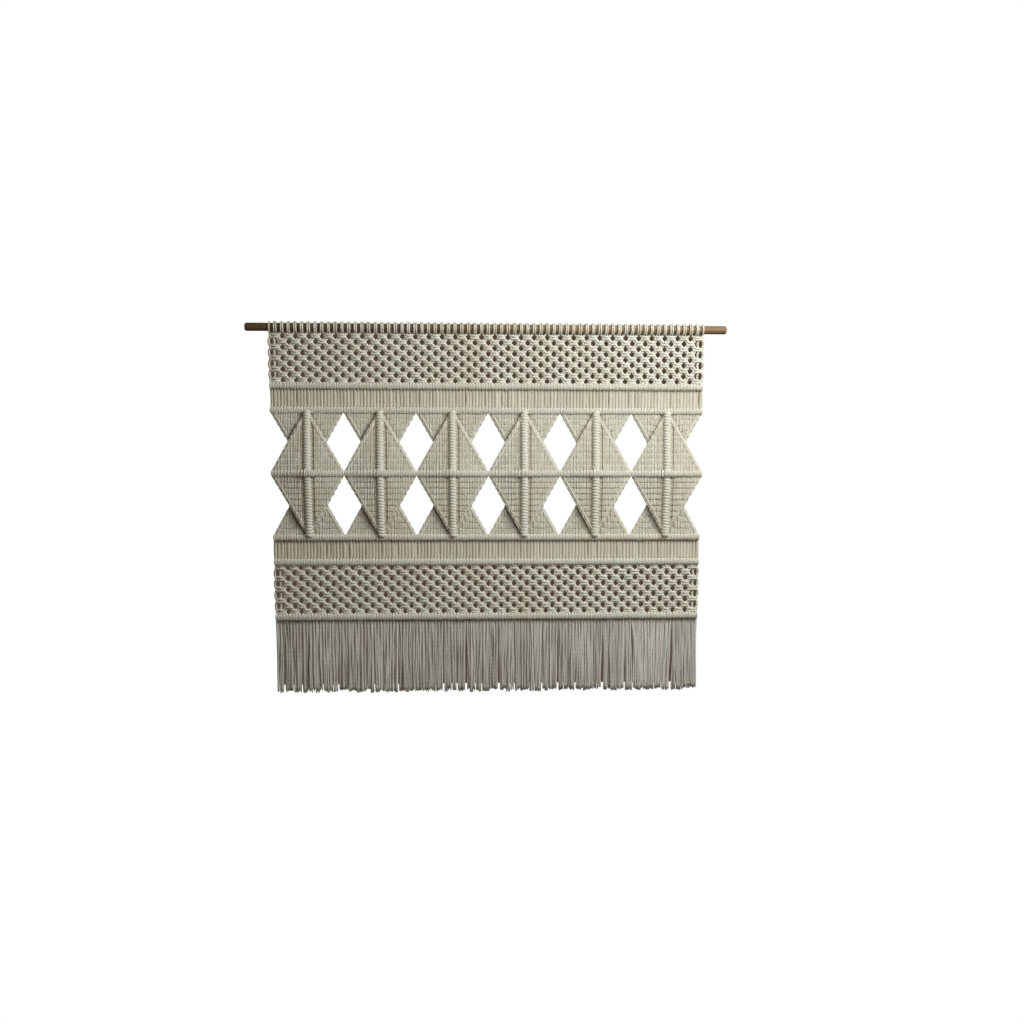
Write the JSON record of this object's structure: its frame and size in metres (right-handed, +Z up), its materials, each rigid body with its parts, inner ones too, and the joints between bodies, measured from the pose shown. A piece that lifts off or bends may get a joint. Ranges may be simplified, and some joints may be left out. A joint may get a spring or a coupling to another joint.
{
  "type": "tapestry wall hanging",
  "caption": "Macrame wall hanging of natural cotton cord on a round wooden dowel: square-knot nets, knotted ridges, loose-cord bands and a field of crossing diamonds above a straight fringe.",
  "frame": {"origin": "middle of the dowel's axis, where the wall hooks hold it", "axes": "+X along the dowel towards the viewer's right, +Y towards the wall, +Z up; the front faces -Y"},
  "size_m": [0.914, 0.0374, 0.6977],
  "materials": {
    "dowel_wood": "satin, bare turned wood",
    "cotton_cord": "matte, soft twisted cotton"
  },
  "bodies": {
    "dowel": {"dowel": "dowel_wood"},
    "mounting_row": {"mounting_knots": "cotton_cord"},
    "upper_panel": {"upper_net": "cotton_cord", "upper_net_ridge": "cotton_cord", "upper_loose_cords_top": "cotton_cord"},
    "pyramid_panel": {"upper_loose_cords_bottom": "cotton_cord", "pyramid_top_ridge": "cotton_cord", "pyramid_centre_ridge": "cotton_cord", "pyramid_bottom_ridge": "cotton_cord", "lower_loose_cords_top": "cotton_cord", "back_panel_upper_1": "cotton_cord", "front_panel_upper_1": "cotton_cord", "rib_upper_1": "cotton_cord", "back_panel_lower_1": "cotton_cord", "front_panel_lower_1": "cotton_cord", "rib_lower_1": "cotton_cord", "back_panel_upper_2": "cotton_cord", "front_panel_upper_2": "cotton_cord", "rib_upper_2": "cotton_cord", "back_panel_lower_2": "cotton_cord", "front_panel_lower_2": "cotton_cord", "rib_lower_2": "cotton_cord", "back_panel_upper_3": "cotton_cord", "front_panel_upper_3": "cotton_cord", "rib_upper_3": "cotton_cord", "back_panel_lower_3": "cotton_cord", "front_panel_lower_3": "cotton_cord", "rib_lower_3": "cotton_cord", "back_panel_upper_4": "cotton_cord", "front_panel_upper_4": "cotton_cord", "rib_upper_4": "cotton_cord", "back_panel_lower_4": "cotton_cord", "front_panel_lower_4": "cotton_cord", "rib_lower_4": "cotton_cord", "back_panel_upper_5": "cotton_cord", "front_panel_upper_5": "cotton_cord", "rib_upper_5": "cotton_cord", "back_panel_lower_5": "cotton_cord", "front_panel_lower_5": "cotton_cord", "rib_lower_5": "cotton_cord", "back_panel_upper_6": "cotton_cord", "front_panel_upper_6": "cotton_cord", "rib_upper_6": "cotton_cord", "back_panel_lower_6": "cotton_cord", "front_panel_lower_6": "cotton_cord", "rib_lower_6": "cotton_cord"},
    "lower_panel": {"lower_loose_cords_bottom": "cotton_cord", "lower_net_top_ridge": "cotton_cord", "lower_net": "cotton_cord", "fringe_ridge": "cotton_cord"},
    "fringe": {"fringe_1": "cotton_cord", "fringe_2": "cotton_cord", "fringe_3": "cotton_cord", "fringe_4": "cotton_cord", "fringe_5": "cotton_cord", "fringe_6": "cotton_cord"}
  },
  "joints": [
    {"name": "slide_along_dowel", "type": "slide", "parent": "dowel", "child": "mounting_row", "axis": [1, 0, 0], "range_m": [-0.03, 0.03]},
    {"name": "panel_swing", "type": "hinge", "parent": "mounting_row", "child": "upper_panel", "pos_m": [0, 0, -0.01485], "axis": [-1, 0, 0], "range_deg": [-5, 60]},
    {"name": "upper_fold", "type": "hinge", "parent": "upper_panel", "child": "pyramid_panel", "pos_m": [0, 0, -0.13375], "axis": [-1, 0, 0], "range_deg": [-45, 60]},
    {"name": "lower_fold", "type": "hinge", "parent": "pyramid_panel", "child": "lower_panel", "pos_m": [0, 0, -0.4188], "axis": [-1, 0, 0], "range_deg": [-45, 60]},
    {"name": "fringe_swing", "type": "hinge", "parent": "lower_panel", "child": "fringe", "pos_m": [0, 0, -0.55255], "axis": [-1, 0, 0], "range_deg": [-60, 60]}
  ]
}
